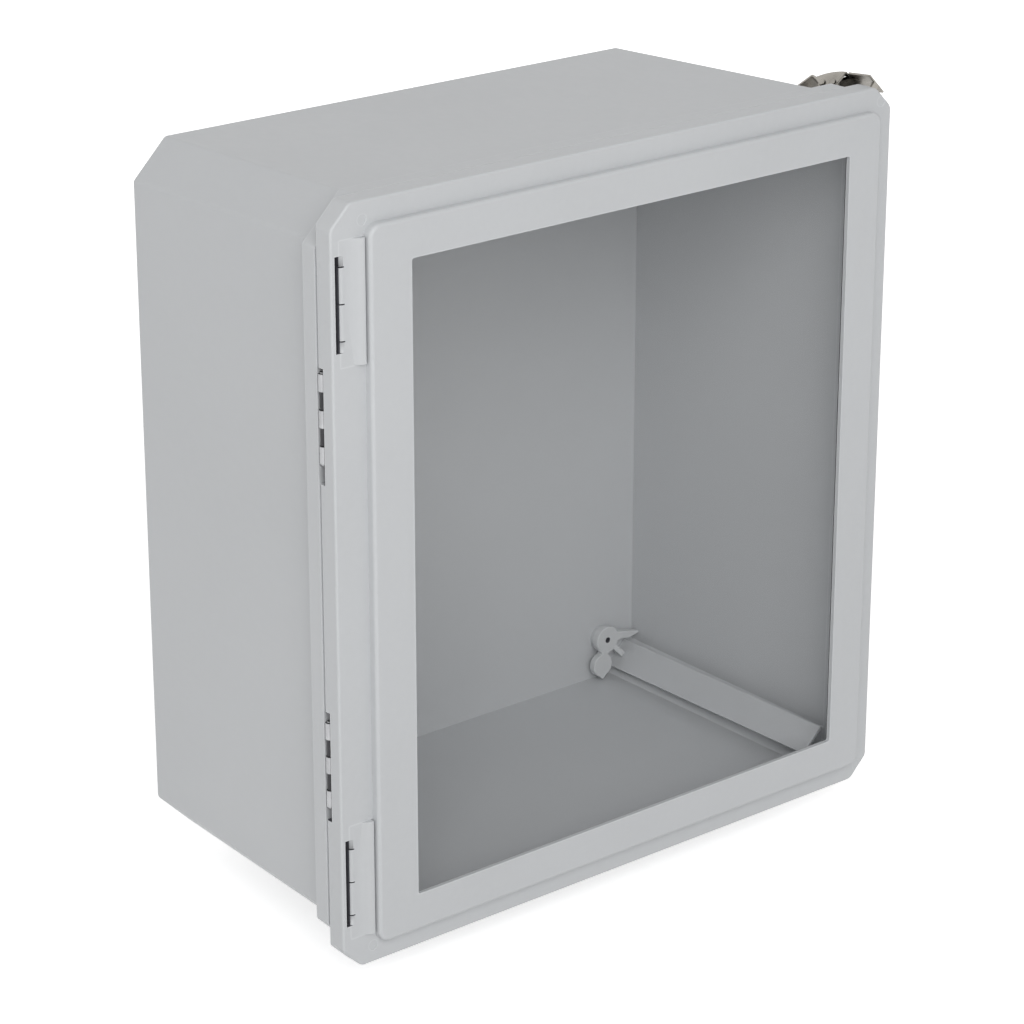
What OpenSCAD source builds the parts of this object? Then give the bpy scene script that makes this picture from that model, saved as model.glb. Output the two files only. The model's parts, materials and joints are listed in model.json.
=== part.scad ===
// Outdoor electrical enclosure: a moulded box with a hinged window cover,
// two corner draw latches and panel clips that slide on four corner rails.
// Millimetres. X runs to the right, Y to the back and Z up.
// The origin is the middle of the back face, which goes against the wall.

/* [Cover] */
// Width of the cover
cover_w = 446; // [380:1:520]
// Height of the cover
cover_h = 480; // [420:1:560]
// Leg of the cut at each corner of the cover
cover_cut = 14; // [12:0.5:18]
// Rounding of the outline at both ends of a corner cut
cover_round = 6; // [3:0.5:12]
// Depth of the cover from its face to the parting edge
cover_depth = 14.5; // [13:0.5:20]
// Thickness of the cover's face and pocket walls
cover_wall = 4; // [3.5:0.1:5]
// Rounding of the front edge of the cover
cover_edge = 1.5; // [0.5:0.1:3]
// Width of the solid rim between the outside and the gasket channel
rim_w = 11.3; // [10.5:0.1:12]
// Width of the gasket channel
channel_w = 4; // [3:0.1:5]
// Depth of the gasket channel
channel_depth = 8; // [5:0.5:9]
// Thickness of the rib on the inner side of the gasket channel
rib_w = 2.5; // [1.5:0.1:3]
// Diameter of the small round dimples near the corners of the face
dimple_d = 6.4; // [4:0.2:8]
// Depth of those dimples
dimple_depth = 0.5; // [0.3:0.1:1]

/* [Window] */
// Height of the raised window panel above the face
panel_rise = 6.2; // [5:0.1:8]
// Distance from the cover's edge to the panel at top, bottom and right
panel_margin = 14; // [13:0.5:20]
// Distance from the cover's edge to the panel on the hinge side
hinge_margin = 23.5; // [22.5:0.5:30]
// Rounding of the raised panel's front edge
panel_edge = 2.4; // [0.5:0.1:3]
// Corner radius of the raised panel
panel_round = 8; // [6:0.5:18]
// Thickness of the raised panel
panel_t = 3; // [2:0.1:4]
// Width of the panel's border on the hinge side of the window
border_hinge = 29.7; // [28:0.1:40]
// Width of the panel's border on the latch side of the window
border_latch = 27.9; // [27:0.1:40]
// Width of the panel's border above and below the window
border_end = 24.5; // [23.5:0.5:40]
// Corner radius of the window
window_round = 1.5; // [1:0.5:10]
// Thickness of the clear pane
pane_t = 3; // [2:0.1:4]
// Overlap of the pane behind the border
pane_lap = 10; // [8:0.5:12]
// Thickness of the pane's gasket
pane_gasket_t = 1.2; // [0.8:0.1:2]
// Thickness of the retainer frame behind the pane
retainer_t = 2.5; // [1.5:0.1:3]
// Distance of the retainer's inner edge behind the border
retainer_lap = 6; // [3:0.5:7]
// Distance of the pane gasket's inner edge behind the border
gasket_lap = 0.6; // [0.2:0.1:2]
// Distance from the pane's edge to the retainer screws
retainer_screw_out = 4.5; // [4.2:0.1:5]

/* [Body] */
// Depth from the back face to the front of the flange
body_depth = 206.5; // [150:0.5:260]
// Draft of every side, degrees
draft = 1.8; // [0.5:0.1:2.5]
// Leg of the cut along each corner of the body
body_cut = 24.3; // [20:0.1:28]
// Rounding of the body's outer edges
body_edge = 4; // [2:0.5:6]
// Wall of the sides
body_wall = 5; // [4.5:0.1:6]
// Wall of the back
back_wall = 4; // [3:0.1:6]
// Reach of the flange beyond the left and right walls
flange_side = 9; // [7:0.5:11]
// Reach of the flange beyond the top and bottom walls
flange_end = 3; // [2:0.5:5]
// Thickness of the flange
flange_t = 11.5; // [9:0.5:14]
// Leg of the cut at each corner of the flange
flange_cut = 27; // [24:0.5:30]
// Rounding of the flange's outline
flange_round = 4; // [3:0.5:10]
// Length of the blend from the flange into the walls
blend_len = 6; // [4:0.5:6]
// Gap at the parting line between cover and flange
parting_gap = 0.5; // [0.4:0.1:1]

/* [Hinges] */
// Distance from the cover's end to the middle of a hinge
hinge_end = 131.2; // [128:0.2:150]
// Height of the pair of hinges above the cover's middle
hinge_shift = 2.8; // [0:0.2:4]
// Distance from the cover's end to the middle of a hinge slot
hinge_slot_end = 133; // [130:1:150]
// Length of a hinge slot
hinge_slot_len = 71; // [68:1:72]
// Length of one knuckle
knuckle_len = 11; // [9:0.5:12]
// Number of knuckles on a barrel
knuckle_count = 5; // [3:2:5]
// Outer radius of the knuckles on the body leaf
body_knuckle_r = 2.7; // [2.4:0.1:2.9]
// Outer radius of the knuckles on the cover leaf
cover_knuckle_r = 2; // [1.8:0.1:2.2]
// Radius of the hinge pin
hinge_pin_r = 1.1; // [0.9:0.1:1.3]
// Distance from the cover's side face to the hinge axis
hinge_inset = 2.1; // [1.9:0.1:2.4]
// Thickness of a hinge leaf
leaf_t = 1.2; // [1:0.1:1.3]
// Reach of a leaf from the hinge axis
leaf_w = 8.8; // [8.2:0.1:8.9]
// Distance from the hinge axis to the leaf screws
leaf_screw_x = 6.1; // [5.8:0.1:6.4]

/* [Hinge caps] */
// Distance from the cover's end to the middle of a cap
cap_end = 58.5; // [56:0.5:62]
// Length of a cap
cap_len = 75; // [65:1:76]
// Distance from the cover's side face to the cap's rolled edge
cap_inset = 6; // [5.5:0.1:7]
// Depth of a cap below the cover's face
cap_depth = 3; // [2.6:0.1:3.2]
// Height of the cap's ramp beside the panel
cap_ramp = 3; // [2:0.1:5]
// Width of the flat part of a cap before its ramp
cap_flat = 9.5; // [6:0.5:10]
// Width of the flat top of a cap's ramp
cap_land = 3; // [1:0.5:4]
// Width of the groove between the cap and the panel
cap_groove = 1.2; // [0.8:0.1:2]
// Width of the slot beside the cap's rolled edge
slot_w = 3.2; // [1.5:0.1:3.4]
// Length of that slot
slot_len = 57.3; // [45:0.5:60]
// Depth of that slot
slot_depth = 10; // [6:0.5:11]
// Distance between the three seams across the rolled edge
seam_pitch = 22; // [16:0.5:24]

/* [Latches] */
// Distance of a latch's middle behind the cover's face
latch_back = 44; // [43:0.5:60]
// Height of the lever's pivot above the corner cut of the body
pivot_up = 13; // [12.5:0.1:13.5]
// Distance of the lever's pivot in front of the latch's middle
pivot_ahead = 8; // [7.5:0.1:8.2]
// Distance of the claw's pin behind the lever's pivot
claw_pin_back = 8; // [7.5:0.1:8.5]
// Distance of the claw's pin below the lever's pivot
claw_pin_down = 1.8; // [1.5:0.1:2]
// Width of the lever
lever_w = 18.8; // [18:0.2:20]
// Thickness of the latch's sheet metal
latch_t = 1.4; // [1.2:0.1:1.5]
// Width of the claw's head
claw_w = 17.6; // [15:0.2:18]
// Width of the claw's tongue
tongue_w = 6; // [4:0.5:9]
// Width of the latch's base plate
latch_base_w = 20; // [18:0.5:24]
// Radius of the two latch pins
latch_pin_r = 1.5; // [1.2:0.1:1.7]
// Distance of the front base screw in front of the latch's middle
latch_screw_ahead = 1; // [0.5:0.1:1.5]
// Distance of the rear base screw behind the latch's middle
latch_screw_behind = 9; // [8:0.1:9.5]
// Depth of the keeper pocket in the cover's corner cut
keeper_depth = 2.5; // [1.5:0.1:3]
// Length of the keeper pocket
keeper_len = 3.6; // [3:0.1:5]
// Thickness of the lip behind the keeper pocket
keeper_lip = 1.4; // [1:0.1:1.6]

/* [Rails and clips] */
// Width of a rail's face
rail_w = 22; // [18:0.5:23]
// Thickness of a rail's face
rail_t = 2.2; // [2:0.1:4]
// Height of a rail's face above the corner at the back
rail_h = 5.7; // [5:0.1:9]
// Thickness of a rail's stem
rail_stem = 5; // [3:0.5:7]
// Distance of a rail's front end behind the flange's front
rail_back = 2.5; // [1:0.5:20]
// Distance of a stem's front end behind the flange
rail_foot_in = 1; // [0.5:0.5:4]
// Thickness of a panel clip
clip_t = 5; // [4:0.5:6]
// Radius of a clip's round head
clip_head_r = 10; // [8:0.5:11]
// Distance of a clip's hole from the rail's face
clip_hole_up = 21.9; // [20:0.1:23]
// Radius of the panel screw hole in a clip
clip_hole_r = 2; // [1:0.1:3]
// Radius of the round thumb lobe
clip_lobe_r = 8.4; // [7:0.1:8.6]

/* [Wall inserts] */
// Thread bore radius of a wall insert
insert_bore_r = 2.5; // [2:0.1:3]
// Outer radius of a wall insert
insert_r = 4.2; // [3.8:0.1:4.6]
// Length of a wall insert
insert_len = 6; // [5:0.5:6.5]
// Radius of the boss inside the back wall
insert_boss_r = 9; // [7:0.5:9.5]
// Height of that boss
insert_boss_h = 3.5; // [3:0.1:3.7]

/* [Clearances] */
// Radial clearance of a pin in its bore
pin_clear = 0.05; // [0.02:0.01:0.1]
// Clearance of a piece in its seat
seat_clear = 0.1; // [0.05:0.05:0.2]
// Clearance between pieces that move past each other
run_clear = 0.4; // [0.3:0.05:0.6]

/* [Hidden] */
CORNERS = ["upper_left", "upper_right", "lower_left", "lower_right"];
$fn = 48;
hull_fn = 32;
past = 1;
root2 = sqrt(2);

shell_grey = "#bcbebe";
cover_grey = "#c6c8ca";
inner_grey = "#a9acae";
steel = "#b9bbbb";
dark_steel = "#4a4a4c";
rubber = "#2b2b2d";
clear = [0.8, 0.85, 0.88, 0.25];
brass = "#b5964e";

// Planes along Y, from the back to the front
flange_y = -body_depth;
skirt_y = flange_y - parting_gap;
face_y = skirt_y - cover_depth;
panel_y = face_y - panel_rise;
panel_back_y = panel_y + panel_t;
pane_y = panel_back_y + pane_gasket_t;
retainer_y = pane_y + pane_t;
pocket_y = face_y + cover_wall;

// Dimples: distances from the cover's sides and ends
dimple_hinge_in = 22.5;
dimple_hinge_end = 11.5;
dimple_latch_in = 9.5;

// Window panel
panel_w = cover_w - panel_margin - hinge_margin;
panel_h = cover_h - 2*panel_margin;
panel_x = (hinge_margin - panel_margin)/2;
panel_left = panel_x - panel_w/2;
window_w = panel_w - border_hinge - border_latch;
window_x = panel_x + (border_hinge - border_latch)/2;
window_h = panel_h - 2*border_end;
pane_w = window_w + 2*pane_lap;
pane_h = window_h + 2*pane_lap;
retainer_edge = 4.8;
screw_row_w = pane_w + 2*retainer_screw_out;
screw_row_h = pane_h + 2*retainer_screw_out;
screw_spread = 0.35;
boss_r = 3.5;
screw_r = 1.4;
screw_head_r = 3;
screw_head_h = 1.8;

// Flange opening and gasket, as insets from the cover's outline
channel_in = rim_w;
rib_in = channel_in + channel_w;
pocket_in = rib_in + rib_w;
opening_in = rib_in + 0.2;

// Hinge
hinge_half = cover_h/2 - hinge_end;
hinge_slot_z = cover_h/2 - hinge_slot_end;
barrel_len = knuckle_len*knuckle_count;
hinge_x = -cover_w/2 + hinge_inset;
hinge_y = flange_y - body_knuckle_r - seat_clear;
knuckle_gap = 0.3;
body_leaf_y = flange_y - hinge_y - leaf_t;
cover_leaf_y = -1;
leaf_start = body_knuckle_r + run_clear + 0.1;
pin_head_h = 0.8;
pin_head_r = hinge_pin_r + 0.7;
leaf_screw_head_r = 2.3;
leaf_screw_r = 1.25;
leaf_screw_len = 8;
leaf_screw_pitch = barrel_len/3;
skirt_bevel = 1.3;

// Hinge caps
cap_z = cover_h/2 - cap_end;
cap_left = -cover_w/2 + cap_inset;
cap_right = panel_left - cap_groove;
cap_edge_r = 2.6;
seam_w = 0.8;
seam_len = 3.4;
backing_t = 3;

// Latch: the pivot is the middle of the lever's and the claw's profiles
latch_y = face_y + latch_back;
latch_tilt = atan(root2*tan(draft));
ear_out = lever_w/2 - latch_t - run_clear;
ear_in = ear_out - latch_t;
tail_w = 2*(ear_in - run_clear);
hump_r = 41.8;
hump_at = [-8.7, -32.3];
hump_front = -5.6;
cheek_in = 0.5;
cheek_top = 12;
cheek_nose = [hump_front + cheek_in, 7.9];
cheek_chin = [-3, -2];
cheek_foot = [12, -2];
cheek_end = [17, 0.8];
tab_neck = [16, 1.8];
tab_top = [19.4, 2.6];
tab_tip = [26.4, -6.8];
tab_lip = [0.9, -0.1];
tab_foot = [-1.2, -0.6];
claw_knee = [1, 3.2];
claw_head = [-6, 8.95];
claw_head_lap = 0.06;
claw_front_up = 10.1;
boss_a_r = 3.6;
boss_b_r = 3.3;
ear_r = 3.3;
eye_r = latch_pin_r + 1.2;
pin_head_t = 0.8;
pin_head_out = 0.7;
base_front = -12.4;
base_back = 14;
claw_pin_at = [claw_pin_back, -claw_pin_down];
keeper_side = 1;
latch_screw_r = 1.9;
latch_screw_depth = 4;
latch_screw_head_r = 3.2;
latch_screw_head_h = 1.8;

// Panel clip: places in the plane across the rail, some of them from the head's middle
clip_edge = rail_w/2 + run_clear;
clip_head = [0, rail_h + clip_hole_up];
clip_stub_w = 4;
clip_lobe = [-clip_edge - 4.6, clip_head[1] - 9.9];
clip_thumb = [[-8, 2], [-7.6, -7.6], [1, -8]];
clip_neck_w = 6;
clip_neck_in = 5;
clip_crown = [4, -8];
clip_cheek = [9, -3];
clip_chin = [8, -11];
beak_tip = [clip_edge + 8, 5.6];
beak_top = beak_tip + [1.2, 1];
beak_root = [clip_edge, clip_head[1] - 16.1];

function body_half_w(y) = cover_w/2 - flange_side - (y - flange_y)*tan(draft);
function body_half_h(y) = cover_h/2 - flange_end - (y - flange_y)*tan(draft);
function inset_cut(cut, inset) = cut - inset*(2 - root2);
function octagon(half_w, half_h, cut) = [
    [half_w, half_h - cut], [half_w - cut, half_h],
    [cut - half_w, half_h], [-half_w, half_h - cut],
    [-half_w, cut - half_h], [cut - half_w, -half_h],
    [half_w - cut, -half_h], [half_w, cut - half_h]
];
function rectangle(half_w, half_h) = [
    [half_w, half_h], [-half_w, half_h], [-half_w, -half_h], [half_w, -half_h]
];
function unit(v) = v/norm(v);
// How far the body's corner cut lies below the cover's corner cut, under a latch
function latch_sunk() = (cover_w/2 + cover_h/2 - cover_cut + body_cut
    - body_half_w(latch_y) - body_half_h(latch_y))/root2;
// Distance of the claw's tongue behind the lever's pivot
function tongue_at() = skirt_y - keeper_lip - keeper_len/2 - latch_y + pivot_ahead;
// Height of the cover's corner cut above the lever's pivot
function cut_up(at) = latch_sunk() - pivot_up + (at - pivot_ahead)*tan(latch_tilt);

// Solids from flat outlines, along each axis
module prism_x(x0, x1) {
    translate([x0, 0, 0]) rotate([90, 0, 90]) linear_extrude(height = x1 - x0) children();
}
module prism_y(y0, y1) {
    translate([0, y1, 0]) rotate([90, 0, 0]) linear_extrude(height = y1 - y0) children();
}
module prism_z(z0, z1) {
    translate([0, 0, z0]) linear_extrude(height = z1 - z0) children();
}

// Convex outline with true arcs at its corners
module rounded(points, r) {
    n = len(points);
    corners = [for (i = [0 : n - 1])
        let (p = points[i], a = unit(points[(i + n - 1) % n] - p), b = unit(points[(i + 1) % n] - p),
             half = acos(a*b)/2)
        [p + a*r/tan(half), p + b*r/tan(half), p + unit(a + b)*r/sin(half)]];
    polygon([for (c = corners) each [c[0], c[1]]]);
    for (c = corners) translate(c[2]) circle(r);
}

// Outline of the cover, moved inwards
module cover_outline(inset) {
    r = max(cover_round - inset/2, 3);
    rounded(octagon(cover_w/2 - inset, cover_h/2 - inset, inset_cut(cover_cut, inset)), r);
}
module flange_outline(inset) {
    points = octagon(cover_w/2 - inset, cover_h/2 - inset, inset_cut(flange_cut, inset));
    rounded(points, flange_round);
}
module panel_outline(inset) {
    translate([panel_x, 0])
        rounded(rectangle(panel_w/2 - inset, panel_h/2 - inset), max(panel_round - inset, 2));
}
module window_outline(w, h, r) {
    translate([window_x, 0]) rounded(rectangle(w/2, h/2), r);
}
module cover_ring(inset, width) {
    difference() {
        cover_outline(inset);
        cover_outline(inset + width);
    }
}

// Block with flat drafted sides and cut corners, from y0 forward to y1
module drafted_block(wall, y0, y1) {
    reach = cover_w + cover_h;
    cut = inset_cut(body_cut, wall);
    w0 = body_half_w(y0) - wall;
    w1 = body_half_w(y1) - wall;
    h0 = body_half_h(y0) - wall;
    h1 = body_half_h(y1) - wall;
    d0 = (w0 + h0 - cut)/root2;
    d1 = (w1 + h1 - cut)/root2;
    intersection() {
        prism_z(-reach, reach) polygon([[-w0, y0], [w0, y0], [w1, y1], [-w1, y1]]);
        rotate([0, 90, 0]) prism_z(-reach, reach) polygon([[-h0, y0], [h0, y0], [h1, y1], [-h1, y1]]);
        rotate([0, 45, 0]) prism_z(-reach, reach) polygon([[-d0, y0], [d0, y0], [d1, y1], [-d1, y1]]);
        rotate([0, -45, 0]) prism_z(-reach, reach) polygon([[-d0, y0], [d0, y0], [d1, y1], [-d1, y1]]);
    }
}

// Frames of reference
module both_ends() {
    children();
    mirror([0, 0, 1]) children();
}
// Lower-right corner by default: X along the corner, Z into the box
module at_rail(corner) {
    y = -back_wall;
    cut = inset_cut(body_cut, body_wall);
    x0 = body_half_w(y) - body_wall - cut/2;
    z0 = body_half_h(y) - body_wall - cut/2;
    left = corner == "upper_left" || corner == "lower_left" ? 1 : 0;
    upper = corner == "upper_left" || corner == "upper_right" ? 1 : 0;
    mirror([left, 0, 0]) mirror([0, 0, upper])
        translate([x0, 0, -z0]) rotate([0, -45, 0]) children();
}
// Hinge axis at the middle of a hinge: side is 1 for the upper one and -1 for the lower one
module at_hinge(side) {
    translate([hinge_x, hinge_y, hinge_shift + side*hinge_half]) children();
}
// Upper corner cut of the cover: X along the cut, Z outwards
module at_cover_cut() {
    translate([cover_w/2 - cover_cut/2, 0, cover_h/2 - cover_cut/2]) rotate([0, 45, 0]) children();
}
// Upper corner cut of the body, below the latch
module at_latch() {
    at_cover_cut() translate([0, latch_y, -latch_sunk()]) rotate([-latch_tilt, 0, 0]) children();
}
module at_pivot() {
    at_latch() translate([0, -pivot_ahead, pivot_up]) children();
}
module across(x0, x1, at, r) {
    translate([x0, at[0], at[1]]) rotate([0, 90, 0]) cylinder(h = x1 - x0, r = r);
}

// Fasteners
module flat_screw(grow) {
    head_h = leaf_screw_head_r - leaf_screw_r;
    cylinder(h = head_h, r1 = leaf_screw_head_r + grow, r2 = leaf_screw_r + grow);
    cylinder(h = leaf_screw_len + grow, r = leaf_screw_r + grow);
}
module pan_screw(head_r, head_h, r, length) {
    translate([0, 0, -head_h]) difference() {
        cylinder(h = head_h, r1 = head_r*0.8, r2 = head_r);
        translate([0, 0, -past]) cylinder(h = past + head_h*0.6, r = r*0.8, $fn = 6);
    }
    cylinder(h = length, r = r);
}
module leaf_screws_at() {
    for (i = [-1 : 1]) translate([leaf_screw_x, 0, i*leaf_screw_pitch]) children();
}
module body_leaf_screws(side, grow) {
    at_hinge(side) translate([0, body_leaf_y, 0]) leaf_screws_at() rotate([-90, 0, 0]) flat_screw(grow);
}
module cover_leaf_screws(side, grow) {
    at_hinge(side) translate([0, cover_leaf_y + leaf_t, 0]) leaf_screws_at()
        rotate([90, 0, 0]) flat_screw(grow);
}
module window_screws_at() {
    for (i = [-1 : 1]) for (s = [-1, 1]) {
        translate([window_x + i*screw_spread*screw_row_w, 0, s*screw_row_h/2]) children();
        translate([window_x + s*screw_row_w/2, 0, i*screw_spread*screw_row_h]) children();
    }
}
module latch_screws_at() {
    for (y = [-latch_screw_ahead, latch_screw_behind]) translate([0, y, 0]) children();
}

// Body
module insert_at() {
    for (corner = CORNERS) at_rail(corner) translate([0, 0, rail_h + clip_hole_up]) children();
}
module body_outside() {
    front = flange_y + flange_t/2;
    inner = body_edge*(2 - root2);
    hull() {
        for (p = octagon(body_half_w(-body_edge) - body_edge, body_half_h(-body_edge) - body_edge,
                         body_cut - inner))
            translate([p[0], -body_edge, p[1]]) rotate([90, 0, 0]) sphere(body_edge, $fn = hull_fn);
        for (p = octagon(body_half_w(front) - body_edge, body_half_h(front) - body_edge, body_cut - inner))
            translate([p[0], front, p[1]]) rotate([90, 0, 0])
                cylinder(h = past, r = body_edge, $fn = hull_fn);
    }
}
module flange_blend() {
    back = flange_y + flange_t;
    steps = [[0, 0], [0.3, 0.55], [1, 1]];
    for (i = [0, 1]) hull() for (step = [steps[i], steps[i + 1]]) {
        y = back + step[0]*blend_len;
        prism_y(y - 0.2, y) flange_outline(step[1]*flange_side, $fn = hull_fn);
    }
}
module body_shell() {
    color(shell_grey) difference() {
        union() {
            difference() {
                union() {
                    body_outside();
                    prism_y(flange_y, flange_y + flange_t) flange_outline(0);
                    flange_blend();
                }
                drafted_block(body_wall, -back_wall, flange_y + flange_t);
                prism_y(flange_y - past, flange_y + flange_t + past) cover_outline(opening_in);
            }
            insert_at() rotate([90, 0, 0]) translate([0, 0, back_wall/2])
                cylinder(h = back_wall/2 + insert_boss_h, r = insert_boss_r);
        }
        insert_at() rotate([90, 0, 0]) translate([0, 0, -past])
            cylinder(h = insert_len + past, r = insert_r + pin_clear);
        for (side = [-1, 1]) body_leaf_screws(side, pin_clear);
        both_ends() at_latch() latch_screws_at() translate([0, 0, -latch_screw_depth])
            cylinder(h = latch_screw_depth + past, r = latch_screw_r + pin_clear);
    }
}
module wall_inserts() {
    color(brass) insert_at() rotate([90, 0, 0]) difference() {
        cylinder(h = insert_len, r = insert_r);
        translate([0, 0, -past]) cylinder(h = insert_len + 2*past, r = insert_bore_r);
    }
}
module rail(corner) {
    front = flange_y + rail_back;
    foot = flange_y + flange_t + rail_foot_in;
    slope = root2*tan(draft);
    color(inner_grey) at_rail(corner) {
        translate([-rail_w/2, front, rail_h - rail_t]) cube([rail_w, -back_wall - front, rail_t]);
        prism_x(-rail_stem/2, rail_stem/2) polygon([
            [-back_wall, 0], [-back_wall, rail_h - rail_t],
            [foot, rail_h - rail_t], [foot, (foot + back_wall)*slope]
        ]);
    }
}

// Hinge
module leaf(first, knuckle_r, plate_y) {
    difference() {
        union() {
            translate([leaf_start, plate_y, -barrel_len/2])
                cube([leaf_w - leaf_start, leaf_t, barrel_len]);
            for (i = [first : 2 : knuckle_count - 1])
                translate([0, 0, barrel_len/2 - (i + 1)*knuckle_len + knuckle_gap/2]) {
                    cylinder(h = knuckle_len - knuckle_gap, r = knuckle_r);
                    translate([0, plate_y, 0]) cube([leaf_start, leaf_t, knuckle_len - knuckle_gap]);
                }
        }
        cylinder(h = barrel_len + 2*past, r = hinge_pin_r + pin_clear, center = true);
    }
}
module hinge_body_leaf(side) {
    color(steel) difference() {
        at_hinge(side) leaf(0, body_knuckle_r, body_leaf_y);
        body_leaf_screws(side, pin_clear);
    }
}
module hinge_cover_leaf(side) {
    color(dark_steel) difference() {
        at_hinge(side) leaf(1, cover_knuckle_r, cover_leaf_y);
        cover_leaf_screws(side, pin_clear);
    }
}
module hinge_pin(side) {
    color(steel) at_hinge(side) {
        cylinder(h = barrel_len + pin_head_h, r = hinge_pin_r, center = true);
        both_ends() translate([0, 0, barrel_len/2]) cylinder(h = pin_head_h, r = pin_head_r);
    }
}
module hinge_body_screws() {
    color(steel) for (side = [-1, 1]) body_leaf_screws(side, 0);
}
module hinge_cover_screws() {
    color(steel) for (side = [-1, 1]) cover_leaf_screws(side, 0);
}
module hinge_cut(side) {
    translate([hinge_x - hinge_inset - past, hinge_y - body_knuckle_r - run_clear,
               side*hinge_slot_z - hinge_slot_len/2])
        cube([hinge_inset + past + leaf_start + seat_clear, cover_depth, hinge_slot_len]);
    at_hinge(side) {
        translate([0, cover_leaf_y, -barrel_len/2 - seat_clear])
            cube([leaf_w + seat_clear, cover_depth, barrel_len + 2*seat_clear]);
    }
}

// Cover
module cover_block() {
    hull() for (a = [0 : 30 : 90])
        prism_y(face_y + cover_edge*(1 - sin(a)), skirt_y)
            cover_outline(cover_edge*(1 - cos(a)), $fn = hull_fn);
}
module panel_block() {
    hull() for (a = [0 : 15 : 90])
        prism_y(panel_y + panel_edge*(1 - sin(a)), pocket_y)
            panel_outline(panel_edge*(1 - cos(a)), $fn = hull_fn);
}
module cap_cut() {
    translate([cap_left, face_y - past, cap_z - cap_len/2])
        cube([panel_left - cap_left, past + cap_depth, cap_len]);
    translate([cap_left - slot_w, face_y - past, cap_z - slot_len/2])
        cube([slot_w, past + slot_depth, slot_len]);
}
module cap_backing() {
    translate([-cover_w/2 + pocket_in - past, pocket_y - past, cap_z - cap_len/2 - backing_t])
        cube([hinge_margin - pocket_in + cover_wall + past, backing_t + past, cap_len + 2*backing_t]);
}
module keeper_pocket() {
    w = tongue_w + 2*keeper_side;
    at_cover_cut() translate([-w/2, skirt_y - keeper_lip - keeper_len, -keeper_depth])
        cube([w, keeper_len, keeper_depth + cover_cut]);
}
module face_dimples() {
    hinge_side = [dimple_hinge_in - cover_w/2, cover_h/2 - dimple_hinge_end];
    latch_side = [cover_w/2 - dimple_latch_in, cover_h/2 - dimple_latch_in];
    for (p = [hinge_side, latch_side]) both_ends()
        translate([p[0], face_y + dimple_depth, p[1]]) rotate([90, 0, 0])
            cylinder(h = dimple_depth + past, d = dimple_d);
}
module cover_frame() {
    color(cover_grey) difference() {
        union() {
            difference() {
                union() {
                    cover_block();
                    panel_block();
                }
                prism_y(pocket_y, skirt_y + past) cover_outline(pocket_in);
                prism_y(panel_back_y, pocket_y + past) panel_outline(cover_wall);
                prism_y(skirt_y - channel_depth, skirt_y + past) cover_ring(channel_in, channel_w);
                intersection() {
                    prism_y(pocket_y, skirt_y + past) cover_ring(cover_wall, cover_wall);
                    translate([0, face_y, -cover_h]) cube([cover_w, cover_depth + 2*past, 2*cover_h]);
                }
            }
            window_screws_at() translate([0, retainer_y, 0]) rotate([90, 0, 0])
                cylinder(h = retainer_y - panel_back_y + past, r = boss_r);
            both_ends() cap_backing();
        }
        prism_y(panel_y - past, panel_back_y + past) window_outline(window_w, window_h, window_round);
        window_screws_at() translate([0, retainer_y + past, 0]) rotate([90, 0, 0])
            cylinder(h = past + retainer_y - panel_back_y + panel_t/2, r = screw_r + pin_clear);
        both_ends() cap_cut();
        both_ends() keeper_pocket();
        face_dimples();
        for (side = [-1, 1]) {
            hinge_cut(side);
            cover_leaf_screws(side, pin_clear);
        }
        translate([-cover_w/2, skirt_y, -cover_h]) rotate([0, 0, 45])
            cube([skirt_bevel*root2, skirt_bevel*root2, 2*cover_h*2], center = true);
    }
}
module cover_gasket() {
    color(rubber) prism_y(skirt_y - channel_depth, flange_y)
        cover_ring(channel_in + seat_clear, channel_w - 2*seat_clear);
}
module window_gasket() {
    color(rubber) prism_y(panel_back_y, pane_y) difference() {
        window_outline(pane_w, pane_h, window_round);
        window_outline(window_w + 2*gasket_lap, window_h + 2*gasket_lap, window_round);
    }
}
module window_pane() {
    color(clear) prism_y(pane_y, retainer_y) window_outline(pane_w, pane_h, window_round);
}
module window_retainer() {
    color(inner_grey) difference() {
        prism_y(retainer_y, retainer_y + retainer_t) difference() {
            window_outline(screw_row_w + 2*retainer_edge, screw_row_h + 2*retainer_edge, panel_round/2);
            window_outline(window_w + 2*retainer_lap, window_h + 2*retainer_lap, window_round);
        }
        window_screws_at() translate([0, retainer_y + retainer_t + past, 0]) rotate([90, 0, 0])
            cylinder(h = retainer_t + 2*past, r = screw_r + seat_clear);
    }
}
module window_screws() {
    length = retainer_t + retainer_y - panel_back_y + panel_t/2 - seat_clear;
    color(steel) window_screws_at() translate([0, retainer_y + retainer_t, 0]) rotate([90, 0, 0])
        pan_screw(screw_head_r, screw_head_h, screw_r, length);
}
module hinge_cap() {
    z0 = cap_z - cap_len/2;
    z1 = cap_z + cap_len/2;
    back = face_y + cap_depth;
    top = face_y - cap_ramp;
    color(cover_grey) difference() {
        prism_z(z0, z1) polygon([
            [cap_left, face_y], [cap_left + cap_flat, face_y], [cap_right - cap_land, top],
            [cap_right, top], [cap_right, back], [cap_left, back]
        ]);
        prism_z(cap_z - slot_len/2, cap_z + slot_len/2) difference() {
            translate([cap_left - past, face_y - past]) square(cap_edge_r + past);
            translate([cap_left + cap_edge_r, face_y + cap_edge_r]) circle(cap_edge_r);
        }
        for (i = [-1 : 1]) translate([cap_left - past, face_y - past, cap_z + i*seam_pitch - seam_w/2])
            cube([seam_len + past, cap_edge_r + past, seam_w]);
    }
}

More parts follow.
